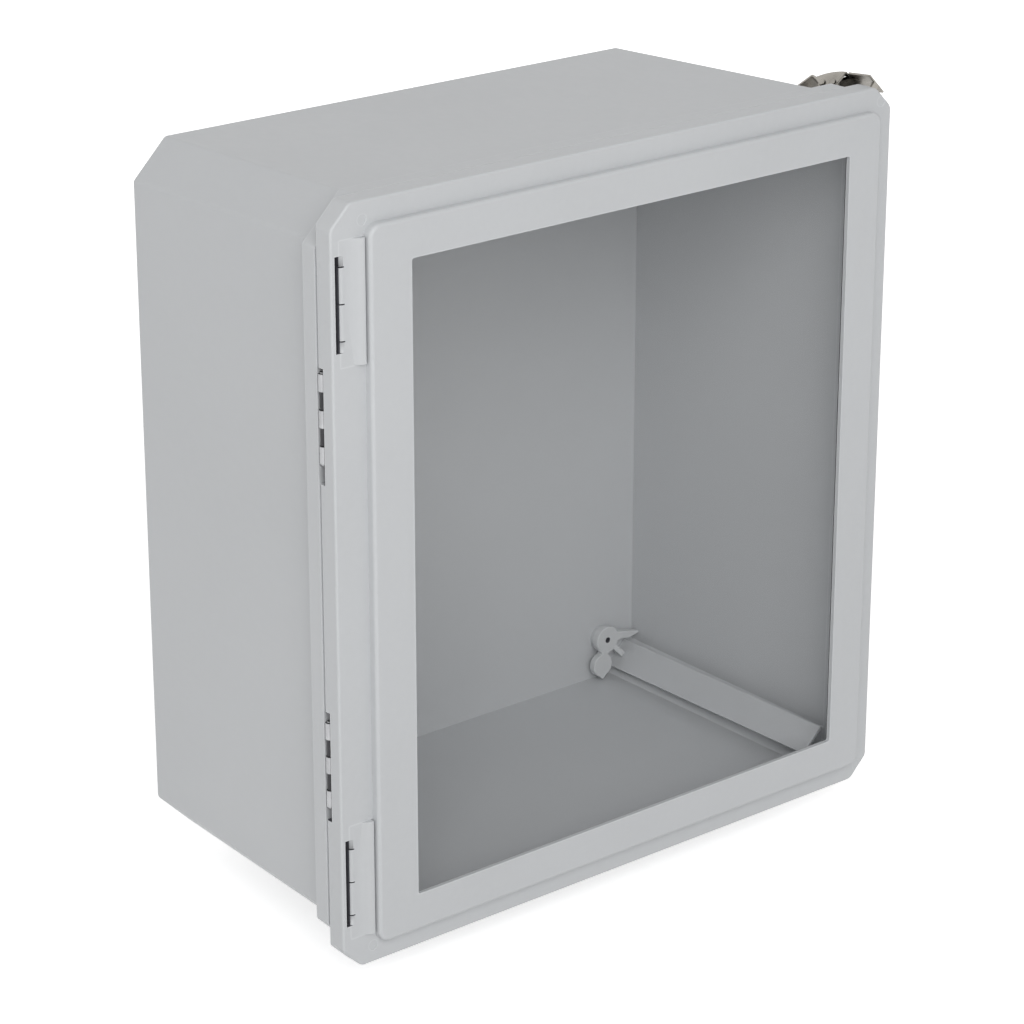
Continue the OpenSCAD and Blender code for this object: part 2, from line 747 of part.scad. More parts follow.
// Latch
module latch_base() {
    color(steel) at_latch() difference() {
        union() {
            translate([-latch_base_w/2, base_front, 0])
                cube([latch_base_w, base_back - base_front, latch_t]);
            for (s = [0, 1]) mirror([s, 0, 0]) {
                across(ear_in, ear_out, [-pivot_ahead, pivot_up], ear_r);
                translate([ear_in, -pivot_ahead - ear_r, 0]) cube([latch_t, 2*ear_r, pivot_up]);
            }
        }
        across(-lever_w, lever_w, [-pivot_ahead, pivot_up], latch_pin_r + pin_clear);
        latch_screws_at() translate([0, 0, -past])
            cylinder(h = latch_t + 2*past, r = latch_screw_r + pin_clear);
    }
}
module latch_pin(at) {
    color(steel) at_pivot() {
        head_at = lever_w/2 + run_clear;
        across(-head_at - past/2, head_at + past/2, at, latch_pin_r);
        for (s = [0, 1]) mirror([s, 0, 0])
            across(head_at, head_at + pin_head_t, at, latch_pin_r + pin_head_out);
    }
}
module latch_screws() {
    color(steel) both_ends() at_latch() latch_screws_at() translate([0, 0, latch_t]) rotate([180, 0, 0])
        pan_screw(latch_screw_head_r, latch_screw_head_h, latch_screw_r,
                  latch_t + latch_screw_depth - seat_clear);
}
// Profile of the lever's side: a long hump over both pins, then the neck of the finger tab
module cheek_profile() {
    intersection() {
        translate(hump_at) circle(hump_r);
        polygon([
            [cheek_nose[0], cheek_top], cheek_nose, cheek_chin, claw_pin_at + [0, -boss_b_r],
            cheek_foot, cheek_end, [cheek_end[0], cheek_top]
        ]);
    }
    circle(boss_a_r);
    translate(claw_pin_at) circle(boss_b_r);
}
module hump_strip() {
    intersection() {
        difference() {
            translate(hump_at) circle(hump_r);
            translate(hump_at) circle(hump_r - latch_t);
        }
        translate([hump_front, 0]) square([cheek_end[0] - hump_front, cheek_top]);
    }
}
module tab_profile() {
    polygon([
        tab_neck, tab_top, tab_top + tab_lip, tab_tip, tab_tip + tab_foot,
        tab_top - [0, latch_t], tab_neck - [0, latch_t]
    ]);
}
module latch_lever() {
    color(steel) at_pivot() difference() {
        union() {
            for (s = [0, 1]) mirror([s, 0, 0]) {
                prism_x(lever_w/2 - latch_t, lever_w/2) cheek_profile();
                prism_x(ear_in, lever_w/2) hump_strip();
            }
            prism_x(-lever_w/2, lever_w/2) tab_profile();
        }
        across(-lever_w, lever_w, [0, 0], latch_pin_r + pin_clear);
        across(-lever_w, lever_w, claw_pin_at, latch_pin_r + pin_clear);
    }
}
// Claw: an eye on its pin, a tail over the pivot and a wide head with a tongue bent down
module claw_strip(points) {
    for (i = [0 : len(points) - 2]) {
        a = points[i];
        b = points[i + 1];
        side = unit([a[1] - b[1], b[0] - a[0]])*latch_t/2;
        polygon([a + side, b + side, b - side, a - side]);
        translate(b) circle(latch_t/2);
    }
}
module latch_claw() {
    eye_top = claw_pin_at + [0, eye_r - latch_t/2];
    front = [tongue_at(), claw_front_up];
    head_start = claw_head + (front - claw_head)*claw_head_lap;
    tip = [tongue_at(), cut_up(tongue_at()) + latch_t/2 + run_clear];
    color(steel) at_pivot() difference() {
        union() {
            across(-tail_w/2, tail_w/2, claw_pin_at, eye_r);
            prism_x(-tail_w/2, tail_w/2)
                claw_strip([eye_top, claw_knee, claw_head, (claw_head + front)/2]);
            prism_x(-claw_w/2, claw_w/2) claw_strip([head_start, front]);
            prism_x(-tongue_w/2, tongue_w/2) claw_strip([front, tip]);
        }
        across(-lever_w, lever_w, claw_pin_at, latch_pin_r + pin_clear);
    }
}

// Panel clip: a round head, a stub that stands on the rail, a beak and a thumb lobe beside its edges
module clip_plate() {
    front = -back_wall - insert_boss_h - run_clear - clip_t;
    prism_y(front, front + clip_t) children();
}
module clip_beak() {
    polygon([
        clip_head + clip_crown, clip_head + clip_cheek, beak_top, beak_tip,
        beak_root, clip_head + clip_chin
    ]);
}
module clip_neck() {
    way = unit(clip_lobe - clip_head);
    side = [-way[1], way[0]]*clip_neck_w/2;
    a = clip_head + way*clip_neck_in;
    b = clip_lobe - way*clip_neck_in;
    polygon([a + side, b + side, b - side, a - side]);
}
module clip(corner) {
    stub_end = rail_h + run_clear;
    color(inner_grey) at_rail(corner) difference() {
        union() {
            clip_plate() translate(clip_head) circle(clip_head_r);
            clip_plate() translate([-clip_stub_w/2, stub_end])
                square([clip_stub_w, clip_head[1] - stub_end]);
            clip_plate() clip_beak();
            clip_plate() translate(clip_lobe) circle(clip_lobe_r);
            clip_plate() polygon([for (p = clip_thumb) clip_lobe + p]);
            clip_plate() clip_neck();
        }
        translate([0, 0, clip_head[1]]) rotate([90, 0, 0]) cylinder(h = body_depth, r = clip_hole_r);
    }
}

body_shell();
rail("upper_left");  // rail_upper_left
rail("upper_right");  // rail_upper_right
rail("lower_left");  // rail_lower_left
rail("lower_right");  // rail_lower_right
wall_inserts();
hinge_body_leaf(1);  // upper_hinge_body_leaf
hinge_body_leaf(-1);  // lower_hinge_body_leaf
hinge_pin(1);  // upper_hinge_pin
hinge_pin(-1);  // lower_hinge_pin
hinge_body_screws();
latch_base();  // upper_latch_base
mirror([0, 0, 1]) latch_base();  // lower_latch_base
latch_pin([0, 0]);  // upper_latch_pivot
mirror([0, 0, 1]) latch_pin([0, 0]);  // lower_latch_pivot
latch_screws();
cover_frame();
cover_gasket();
window_gasket();
window_pane();
window_retainer();
window_screws();
hinge_cover_leaf(1);  // upper_hinge_cover_leaf
hinge_cover_leaf(-1);  // lower_hinge_cover_leaf
hinge_cover_screws();
hinge_cap();  // upper_hinge_cap
mirror([0, 0, 1]) hinge_cap();  // lower_hinge_cap
latch_lever();  // upper_latch_lever
mirror([0, 0, 1]) latch_lever();  // lower_latch_lever
latch_pin(claw_pin_at);  // upper_claw_pin
mirror([0, 0, 1]) latch_pin(claw_pin_at);  // lower_claw_pin
latch_claw();  // upper_latch_claw
mirror([0, 0, 1]) latch_claw();  // lower_latch_claw
clip("upper_left");  // clip_upper_left
clip("upper_right");  // clip_upper_right
clip("lower_left");  // clip_lower_left
clip("lower_right");  // clip_lower_right
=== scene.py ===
# %% [markdown]
# # Dressing an outdoor electrical enclosure
# The solids of the box, its cover, its hinges, latches, rails and clips come from a CAD model.
# They are loaded first and stay where they are: Blender only gives them their looks.
# The box around the loaded solids is kept: the floor and the lamps are placed from it.

# %% Load the solids
import json
import math

import bmesh
import bpy
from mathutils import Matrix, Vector


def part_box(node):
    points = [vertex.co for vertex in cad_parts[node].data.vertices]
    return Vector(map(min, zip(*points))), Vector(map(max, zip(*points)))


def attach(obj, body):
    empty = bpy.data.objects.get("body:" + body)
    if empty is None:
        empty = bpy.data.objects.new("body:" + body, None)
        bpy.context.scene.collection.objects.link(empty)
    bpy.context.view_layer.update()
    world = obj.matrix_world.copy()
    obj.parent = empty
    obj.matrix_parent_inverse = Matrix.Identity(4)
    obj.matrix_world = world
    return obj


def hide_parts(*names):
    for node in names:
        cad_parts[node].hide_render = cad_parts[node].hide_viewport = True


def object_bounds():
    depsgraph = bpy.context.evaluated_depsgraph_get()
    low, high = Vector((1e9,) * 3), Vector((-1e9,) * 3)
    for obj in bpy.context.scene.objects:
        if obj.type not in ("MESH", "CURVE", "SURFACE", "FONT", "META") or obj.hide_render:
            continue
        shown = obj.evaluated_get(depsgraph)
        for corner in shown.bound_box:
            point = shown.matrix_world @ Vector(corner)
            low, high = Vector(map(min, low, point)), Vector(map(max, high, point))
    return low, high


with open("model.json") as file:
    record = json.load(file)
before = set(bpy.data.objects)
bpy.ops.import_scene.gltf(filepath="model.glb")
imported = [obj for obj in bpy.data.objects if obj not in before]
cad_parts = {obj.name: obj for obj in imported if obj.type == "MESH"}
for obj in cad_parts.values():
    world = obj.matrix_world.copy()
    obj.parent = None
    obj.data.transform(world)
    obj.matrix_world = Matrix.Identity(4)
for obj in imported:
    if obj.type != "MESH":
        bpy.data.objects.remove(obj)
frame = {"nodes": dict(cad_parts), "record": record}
cad_low, cad_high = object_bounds()
nodes = frame["nodes"]
record = frame["record"]

# %% [markdown]
# ## Colours and textures
# Every finish here is a node tree around one Principled shader. Its colours are read off a screen and
# its patterns are noises at a given size in millimetres. The texture space is the object's own, in
# metres, so a pattern stays on its piece when the cover swings or a lever turns.

# %% Colour and texture helpers
def screen(r, g, b):
    """A colour as a screen shows it, 0 to 255, turned into the linear values that shaders take."""
    shares = [c / 255 for c in (r, g, b)]
    linear = [s / 12.92 if s <= 0.04 else ((s + 0.055) / 1.055) ** 2.4 for s in shares]
    return (*linear, 1.0)


def new_finish(name, colour, roughness, metallic=0.0):
    """An empty finish: its material, its Principled shader and its texture space."""
    mat = bpy.data.materials.new(name)
    mat.use_nodes = True
    shader = mat.node_tree.nodes["Principled BSDF"]
    shader.inputs["Base Color"].default_value = colour
    shader.inputs["Roughness"].default_value = roughness
    shader.inputs["Metallic"].default_value = metallic
    space = mat.node_tree.nodes.new("ShaderNodeTexCoord").outputs["Object"]
    return mat, shader, space


def noise(mat, space, grain_mm, detail=3.0, stretch=(1, 1, 1)):
    """Noise whose lumps are about grain_mm wide, longer where stretch is under 1."""
    tree = mat.node_tree
    mapping = tree.nodes.new("ShaderNodeMapping")
    mapping.inputs["Scale"].default_value = stretch
    tree.links.new(space, mapping.inputs["Vector"])
    node = tree.nodes.new("ShaderNodeTexNoise")
    node.inputs["Scale"].default_value = 1000.0 / grain_mm
    node.inputs["Detail"].default_value = detail
    tree.links.new(mapping.outputs["Vector"], node.inputs["Vector"])
    return node.outputs["Fac"]


print("mid grey of a screen in linear light:", round(screen(128, 128, 128)[0], 3))

# %% [markdown]
# ## Mixing and tilting
# A noise rarely reaches 0 or 1, so its middle range is spread before it is used. It then mixes two
# tones, changes the gloss, or tilts the surface as a bump.

# %% Mixing helpers
noise_low, noise_high = 0.3, 0.7


def spread(mat, value, low, high):
    """Maps a noise's middle range to low and high."""
    node = mat.node_tree.nodes.new("ShaderNodeMapRange")
    node.inputs["From Min"].default_value = noise_low
    node.inputs["From Max"].default_value = noise_high
    node.inputs["To Min"].default_value = low
    node.inputs["To Max"].default_value = high
    mat.node_tree.links.new(value, node.inputs["Value"])
    return node.outputs["Result"]


def two_tones(mat, factor, first, second):
    """A colour that goes from first to second as factor goes from 0 to 1."""
    node = mat.node_tree.nodes.new("ShaderNodeMix")
    node.data_type = "RGBA"
    if isinstance(first, tuple):
        node.inputs["A"].default_value = first
    else:
        mat.node_tree.links.new(first, node.inputs["A"])
    node.inputs["B"].default_value = second
    mat.node_tree.links.new(factor, node.inputs["Factor"])
    return node.outputs["Result"]


def bump(mat, shader, height, strength, depth_mm):
    """Lets a height pattern tilt the surface a little."""
    node = mat.node_tree.nodes.new("ShaderNodeBump")
    node.inputs["Strength"].default_value = strength
    node.inputs["Distance"].default_value = depth_mm / 1000.0
    mat.node_tree.links.new(height, node.inputs["Height"])
    mat.node_tree.links.new(node.outputs["Normal"], shader.inputs["Normal"])


def feed(mat, value, shader, socket):
    """Links a value to a socket of the shader."""
    mat.node_tree.links.new(value, shader.inputs[socket])


print("noises are spread from", noise_low, "to", noise_high)

# %% [markdown]
# ## Moulded fibreglass
# The box and the cover are pressed from a polyester sheet with chopped glass in it. Close up that
# shows as a faint mottling of slightly lighter fibres, a soft satin gloss and a skin like fine
# orange peel. A photograph of the moulding would tile badly on a box this plain, so three noises do
# it: a broad one for the tone, a fibre-sized one for the mottling and a fine one for the skin.
# Outer edges get a painted highlight, a little paler: short rays cast into the solid find them,
# since near an outer edge they soon come out again.

# %% Moulded finish
def edge_tint(mat, tone, colour, share, reach_mm):
    """Turns a tone toward a colour near outer edges, where rays into the solid soon come out."""
    rays, fully_at_edge = 6, 0.55
    edge = mat.node_tree.nodes.new("ShaderNodeAmbientOcclusion")
    edge.inside = True
    edge.only_local = True
    edge.samples = rays
    edge.inputs["Distance"].default_value = reach_mm / 1000.0
    edge_share = mat.node_tree.nodes.new("ShaderNodeMapRange")
    edge_share.inputs["From Min"].default_value = 1.0
    edge_share.inputs["From Max"].default_value = fully_at_edge
    edge_share.inputs["To Max"].default_value = share
    mat.node_tree.links.new(edge.outputs["AO"], edge_share.inputs["Value"])
    return two_tones(mat, edge_share.outputs["Result"], tone, colour)


def moulding(name, colour, paler, edge_highlight, roughness):
    """A moulded finish, mottled between colour and paler, with a painted highlight at its edges."""
    mat, shader, space = new_finish(name, colour, roughness)
    broad = noise(mat, space, grain_mm=160, detail=2)
    fibres = noise(mat, space, grain_mm=5, detail=4, stretch=(1, 0.55, 1))
    skin = noise(mat, space, grain_mm=0.9, detail=2)
    tone = two_tones(mat, spread(mat, broad, low=0.0, high=0.35), colour, paler)
    tone = two_tones(mat, spread(mat, fibres, low=0.0, high=0.22), tone, paler)
    # Painted highlight: outer edges turn toward a paler grey.
    tone = edge_tint(mat, tone, edge_highlight, share=0.8, reach_mm=1.0)
    swing = 0.05
    gloss = spread(mat, fibres, low=roughness - swing, high=roughness + swing)
    feed(mat, tone, shader, "Base Color")
    feed(mat, gloss, shader, "Roughness")
    bump(mat, shader, skin, strength=0.06, depth_mm=0.04)
    return mat


# The third grey is the painted highlight of outer edges.
grey, pale_grey, highlight_grey = screen(194, 196, 198), screen(203, 205, 207), screen(214, 216, 218)
grey_moulding = moulding("grey_moulding", grey, pale_grey, highlight_grey, roughness=0.45)
print("moulded finish:", grey_moulding.name)

# %% [markdown]
# ## Other mouldings
# The box and the cover come out of the same press, so they share one finish. The hinge caps have the
# same finish with a fainter painted highlight at their edges. Deep slots get a dark finish that is
# painted shade, and the clips are a slightly paler plastic. One function makes all of them, so they
# belong together.

# %% Other moulded finishes
slot_grey, slot_pale = screen(76, 76, 82), screen(84, 84, 90)
# The clips' third tone is the painted highlight of their edges.
clip_grey, clip_pale, clip_highlight = screen(200, 202, 203), screen(210, 211, 212), screen(218, 220, 221)
# The caps' painted edge highlight is fainter: it only reaches the paler grey.
cap_moulding = moulding("cap_moulding", grey, pale_grey, pale_grey, roughness=0.45)
# Painted shade: the dark finish of deep slots.
shaded_moulding = moulding("shaded_moulding", slot_grey, slot_pale, slot_pale, roughness=0.6)
clip_plastic = moulding("clip_plastic", clip_grey, clip_pale, clip_highlight, roughness=0.5)
print("other mouldings:", cap_moulding.name, shaded_moulding.name, clip_plastic.name)

# %% [markdown]
# ## Stainless steel
# The latches are stamped from rolled stainless sheet, so fine straight lines run along them.
# One noise stretched a long way in one direction gives those lines, both in the roughness, where
# they streak the highlight, and in the bump. The sheet turns darker near its edges, and shade is
# painted into the inner corners, which the Ambient Occlusion node finds. The hinge leaves on the
# cover are the same steel painted darker, as painted shade for the slots they sit in.

# %% Metal finish
def painted_corner_shade(mat, tone, reach_mm, most):
    """Paints shade into a tone in inner corners, where short rays soon meet metal."""
    unshaded_ao, fully_shaded_ao, shade_tone = 0.75, 0.25, screen(34, 33, 32)
    corner = mat.node_tree.nodes.new("ShaderNodeAmbientOcclusion")
    corner.inputs["Distance"].default_value = reach_mm / 1000.0
    shade_share = mat.node_tree.nodes.new("ShaderNodeMapRange")
    shade_share.inputs["From Min"].default_value = unshaded_ao
    shade_share.inputs["From Max"].default_value = fully_shaded_ao
    shade_share.inputs["To Max"].default_value = most
    mat.node_tree.links.new(corner.outputs["AO"], shade_share.inputs["Value"])
    return two_tones(mat, shade_share.outputs["Result"], tone, shade_tone)


def rolled_metal(name, colour, darker, roughness, along):
    """A stained metal finish with fine lines, which run where along is under 1."""
    mat, shader, space = new_finish(name, colour, roughness, metallic=1.0)
    lines = noise(mat, space, grain_mm=0.5, stretch=along)
    stain = noise(mat, space, grain_mm=9)
    tone = two_tones(mat, spread(mat, stain, low=0.0, high=0.4), colour, darker)
    # The sheet turns darker near its edges.
    tone = edge_tint(mat, tone, darker, share=0.8, reach_mm=0.4)
    # Painted shade in the inner corners.
    tone = painted_corner_shade(mat, tone, reach_mm=8, most=0.9)
    smoother, rougher = 0.08, 0.1
    gloss = spread(mat, lines, low=roughness - smoother, high=roughness + rougher)
    feed(mat, tone, shader, "Base Color")
    feed(mat, gloss, shader, "Roughness")
    bump(mat, shader, lines, strength=0.15, depth_mm=0.02)
    return mat


latch_steel = rolled_metal("latch_steel", screen(172, 168, 161), screen(104, 100, 95),
                           roughness=0.3, along=(1, 0.04, 1))
print("metal finish:", latch_steel.name)

# %% [markdown]
# ## Other metals
# The hinges are steel too, with lines along their barrels. Screws are turned, so no direction stands
# out on them, and the wall inserts are brass. The same function makes them all from other values.

# %% Other metal finishes
along_barrel = (1, 1, 0.06)
hinge_steel = rolled_metal("hinge_steel", screen(182, 183, 185), screen(140, 140, 142),
                           roughness=0.34, along=along_barrel)
# Painted shade: the hinge leaves on the cover are painted darker for the shade of their slots.
shaded_steel = rolled_metal("shaded_steel", screen(70, 70, 72), screen(48, 48, 50),
                            roughness=0.42, along=along_barrel)
screw_steel = rolled_metal("screw_steel", screen(176, 175, 172), screen(130, 128, 125),
                           roughness=0.32, along=(1, 1, 1))
insert_brass = rolled_metal("insert_brass", screen(190, 160, 92), screen(150, 120, 62),
                            roughness=0.36, along=(1, 0.1, 1))
print("other metals:", hinge_steel.name, shaded_steel.name, screw_steel.name, insert_brass.name)

# %% [markdown]
# ## Gaskets and the window
# The gaskets are closed-cell foam: nearly black, quite dull, with small cells that a Voronoi pattern
# gives. The pane is clear sheet, three millimetres thick. A refracting shader would bend the light
# of the lamps at both faces and leave the box behind it speckled, so the sheet is nearly transparent
# instead: a small alpha leaves a faint film of gloss on it, and fine wiping marks break up that
# gloss. Its base colour is dark, so that the film does not veil what lies behind it.

# %% Gasket and window finishes
gasket_foam, foam_shader, foam_space = new_finish("gasket_foam", screen(46, 46, 48), roughness=0.8)
cells_per_m = 1400.0
cells = gasket_foam.node_tree.nodes.new("ShaderNodeTexVoronoi")
cells.inputs["Scale"].default_value = cells_per_m
gasket_foam.node_tree.links.new(foam_space, cells.inputs["Vector"])
cell_height = cells.outputs["Distance"]
foam_tone = two_tones(gasket_foam, cell_height, screen(38, 38, 40), screen(58, 58, 60))
feed(gasket_foam, foam_tone, foam_shader, "Base Color")
bump(gasket_foam, foam_shader, cell_height, strength=0.4, depth_mm=0.2)

window_sheet, sheet_shader, sheet_space = new_finish("window_sheet", screen(70, 72, 75), 0.05)
film_alpha = 0.03
sheet_shader.inputs["Alpha"].default_value = film_alpha
wiping = noise(window_sheet, sheet_space, grain_mm=14, detail=4, stretch=(1, 1, 0.2))
feed(window_sheet, spread(window_sheet, wiping, low=0.03, high=0.1), sheet_shader, "Roughness")
print("foam and window:", gasket_foam.name, window_sheet.name)

# %% [markdown]
# ## Eased edges
# No moulded or stamped edge is perfectly sharp: it catches a thin line of light. A CAD solid has
# sharp edges and its curved faces are cut into flats, so each visible solid is copied, its coplanar
# triangles are joined back into whole faces, and a small bevel is put on every edge that turns by
# more than 40 degrees. Normals are weighted by the size of their faces, so that a wide flat wall
# stays flat to the light. The copy stands for the solid. A bevel only takes material away from an
# outer edge, so the copy stays inside the solid's own box.

# %% Ease the edges of a solid
weld_m, flat_deg, edge_deg, smooth_deg = 1e-6, 0.5, 40, 38
body_of_node = {n: b for b, group in record["behaviour"]["bodies"].items() for n in group}


def weigh_edges(mesh, stays_sharp):
    """Joins coplanar triangles and marks the edges that a bevel should ease."""
    work = bmesh.new()
    work.from_mesh(mesh)
    bmesh.ops.remove_doubles(work, verts=work.verts, dist=weld_m)
    bmesh.ops.dissolve_limit(work, angle_limit=math.radians(flat_deg),
                             verts=work.verts, edges=work.edges)
    weight = work.edges.layers.float.new("bevel_weight_edge")
    for edge in work.edges:
        middle = (edge.verts[0].co + edge.verts[1].co) / 2
        turns = edge.is_manifold and edge.calc_face_angle() > math.radians(edge_deg)
        edge[weight] = 1.0 if turns and not (stays_sharp and stays_sharp(middle)) else 0.0
    work.to_mesh(mesh)
    work.free()


def applied(piece):
    """The mesh of a piece with its modifiers worked in."""
    worked = piece.evaluated_get(bpy.context.evaluated_depsgraph_get())
    made = bpy.data.meshes.new_from_object(worked)
    piece.modifiers.clear()
    return made


def eased(node, finish, width_mm, stays_sharp=None):
    """A copy of a CAD node with eased edges and its finish, riding where the node rides."""
    mesh = nodes[node].data.copy()
    weigh_edges(mesh, stays_sharp)
    piece = bpy.data.objects.new(node + "_eased", mesh)
    bpy.context.scene.collection.objects.link(piece)
    bevel = piece.modifiers.new("eased_edges", "BEVEL")
    bevel.width = width_mm / 1000.0
    bevel.segments = 2
    bevel.limit_method = "WEIGHT"
    piece.data = applied(piece)
    piece.data.materials.clear()
    piece.data.materials.append(finish)
    piece.data.shade_smooth()
    piece.data.set_sharp_from_angle(angle=math.radians(smooth_deg))
    piece.modifiers.new("flat_faces", "WEIGHTED_NORMAL").keep_sharp = True
    piece.data = applied(piece)
    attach(piece, body_of_node[node])
    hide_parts(node)
    return piece


# %% [markdown]
# ## Box and cover
# The two big mouldings have generous edges, so their bevel is the widest. Each hinge cap sits flush
# in a pocket of the cover with a seam that hardly shows: the pocket's edges and the cap's lower edges
# stay sharp, and only the part of the cap that rises above the cover's face is eased.

# %% Ease the mouldings
ends = ("upper", "lower")
cap_boxes = [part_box(end + "_hinge_cap") for end in ends]
cap_depth, seam_room = 0.003, 0.0003
pocket_starts = cap_boxes[0][1].y - cap_depth - seam_room
pocket_room_mm = (0.3, 0.3, 0.3)


def inside(p, box, grow_mm):
    """Whether a point lies in a box grown by so many millimetres along each axis."""
    low, high = box
    return all(low[i] - grow_mm[i] / 1000 <= p[i] <= high[i] + grow_mm[i] / 1000 for i in range(3))


def in_cap_pocket(p):
    """Whether a point of the cover lies in the pocket of a hinge cap."""
    return any(inside(p, box, pocket_room_mm) for box in cap_boxes)


def below_cover_face(p):
    """Whether a point of a hinge cap lies in its pocket, below the face of the cover."""
    return p.y > pocket_starts


box_shell = eased("body_shell", grey_moulding, width_mm=0.6)
cover = eased("cover_frame", grey_moulding, width_mm=0.35, stays_sharp=in_cap_pocket)
caps = [eased(end + "_hinge_cap", cap_moulding, width_mm=0.25, stays_sharp=below_cover_face)
        for end in ends]
print("mouldings eased:", box_shell.name, cover.name, [cap.name for cap in caps])

# %% [markdown]
# ## Shade in the cover's slots
# Two kinds of slot go deep into the cover: the one beside each hinge cap and the recess around each
# hinge barrel. The faces inside them take the shaded finish, which is painted shade. The faces are
# found by where they lie, because the solid has no names for its faces.

# %% Shade the cover's slots
slot_width, slot_margin, slot_lip = 0.0032, 0.0001, 0.0012
slot_starts = pocket_starts + slot_lip
barrel_boxes = [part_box(end + "_hinge_body_leaf") for end in ends]
barrel_room_mm = (0.5, 0.6, 10)
side_skin = 0.0004
recess_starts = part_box("cover_frame")[0].x + side_skin


def shade(piece, in_shade):
    """Gives the shaded finish to the faces of a piece that a rule picks, and counts them."""
    piece.data.materials.append(shaded_moulding)
    picked = [face for face in piece.data.polygons if in_shade(face.center, face.normal)]
    for face in picked:
        face.material_index = 1
    return len(picked)


def in_cover_slot(p, n):
    """Whether a face of the cover lies beside a cap or around a hinge barrel."""
    beside_cap = p.y > slot_starts and any(
        low.x - slot_width - slot_margin <= p.x <= low.x + slot_margin and low.z < p.z < high.z
        for low, high in cap_boxes)
    around_barrel = p.x > recess_starts and any(
        inside(p, box, barrel_room_mm) for box in barrel_boxes)
    return beside_cap or around_barrel


print("shaded faces of the cover:", shade(cover, in_cover_slot))

# %% [markdown]
# ## Shade in the caps' seams
# Three narrow seams run across each cap's rolled edge, and the edge turns under towards the slot
# beside it. Both are painted in shade, as dark as the slot. A face of a seam is known by the way it
# looks: its walls face up or down, its floor faces the front and its end faces the slot.

# %% Shade the caps' seams
squarely, turned_under = 0.9, 0.85
cap_inset, seam_lip = 0.001, 0.0015
seam_starts = pocket_starts + seam_lip


def cap_seams(low, high):
    """The rule that picks the faces of one cap's seams and the under side of its rolled edge."""
    def in_seam(p, n):
        wall = abs(n.z) > squarely and low.z + cap_inset < p.z < high.z - cap_inset
        floor_or_end = (p.y > seam_starts and p.x > low.x + cap_inset
                        and min(n.x, n.y) < -squarely)
        return wall or floor_or_end or n.x < -turned_under
    return in_seam


print("shaded faces of the caps:", [shade(c, cap_seams(*box)) for c, box in zip(caps, cap_boxes)])

# %% [markdown]
# ## Rails, clips and retainer
# The rails and the retainer are the grey of the box. The clips are a slightly paler plastic, and they
# are handled, so their edges are rounder than those of the rails.

# %% Ease the inside mouldings
clips = []
for end in ends:
    for side in ("left", "right"):
        eased("rail_%s_%s" % (end, side), grey_moulding, width_mm=0.3)
        clips.append(eased("clip_%s_%s" % (end, side), clip_plastic, width_mm=0.5))
eased("window_retainer", grey_moulding, width_mm=0.3)
print("inside mouldings eased: the retainer, the rails and", [clip.name for clip in clips])

# %% [markdown]
# ## Screw holes of the clips
# A panel is screwed to the clips through one hole in each. The hole looks dark, so its wall takes the
# shaded finish, a painted shade. The bolt pattern in the record says where the holes are.

# %% Shade the screw holes
pattern = next(m["dims"] for m in record["mounts"] if m["name"] == "panel_screws")
hole_x = pattern["spacing_x_mm"] / 2 / 1000
hole_z = pattern["spacing_y_mm"] / 2 / 1000
hole_margin_mm, wall_tilt = 0.2, 0.5
hole_reach = (pattern["hole_r_mm"] + hole_margin_mm) / 1000


def in_screw_hole(p, n):
    """Whether a face of a clip is part of the wall of its screw hole."""
    from_axis = math.hypot(abs(p.x) - hole_x, abs(p.z) - hole_z)
    return from_axis < hole_reach and abs(n.y) < wall_tilt


print("shaded faces of the clips:", [shade(clip, in_screw_hole) for clip in clips])

# %% [markdown]
# ## Latches and hinges
# Stamped sheet has a rolled edge on one side and a slight burr on the other; at this size a bevel of
# a fifth of a millimetre reads as both. Pins and hinge leaves are finer, so theirs is smaller still.

# %% Ease the metal parts
metal_parts = []
for end in ends:
    for part in ("latch_base", "latch_lever", "latch_claw"):
        metal_parts.append(eased("%s_%s" % (end, part), latch_steel, width_mm=0.2))
    for part in ("latch_pivot", "claw_pin"):
        metal_parts.append(eased("%s_%s" % (end, part), latch_steel, width_mm=0.15))
    metal_parts.append(eased(end + "_hinge_body_leaf", hinge_steel, width_mm=0.15))
    # The cover's hinge leaves take the painted shade of their slots.
    metal_parts.append(eased(end + "_hinge_cover_leaf", shaded_steel, width_mm=0.15))
    metal_parts.append(eased(end + "_hinge_pin", hinge_steel, width_mm=0.15))
for group in ("latch_screws", "window_screws", "hinge_body_screws", "hinge_cover_screws"):
    metal_parts.append(eased(group, screw_steel, width_mm=0.12))
metal_parts.append(eased("wall_inserts", insert_brass, width_mm=0.2))
print("metal parts eased:", len(metal_parts))

# %% [markdown]
# ## Gaskets and pane
# The gaskets keep their own solids: a gasket is pressed between its neighbours, so an eased edge
# would never be seen, and it only needs its finish. The pane is copied like the other pieces.

# %% Dress the gaskets and the pane
for node in ("cover_gasket", "window_gasket"):
    nodes[node].data.materials.clear()
    nodes[node].data.materials.append(gasket_foam)
pane = eased("window_pane", window_sheet, width_mm=0.2)
print("two gaskets dressed, and", pane.name)

# %% [markdown]
# ## Studio floor
# The object stands in front of plain white. The floor is white too and only shows the shadow: it is
# an ordinary pale floor, lifted to white for the eye of the camera and for what metal and glass
# mirror, through the Light Path node, so that no extra light falls on the object. It lies a little
# lower than the object, because the lever of the lower latch swings below the box as it opens.

# %% Floor
floor_half, lever_swing = 6.0, 0.012
floor_z = cad_low.z - lever_swing
floor_mesh = bpy.data.meshes.new("studio_floor")
floor_corners = [(x * floor_half, y * floor_half, floor_z)
                 for x, y in ((-1, -1), (1, -1), (1, 1), (-1, 1))]
floor_mesh.from_pydata(floor_corners, [], [(0, 1, 2, 3)])
floor = bpy.data.objects.new("studio_floor", floor_mesh)
bpy.context.scene.collection.objects.link(floor)


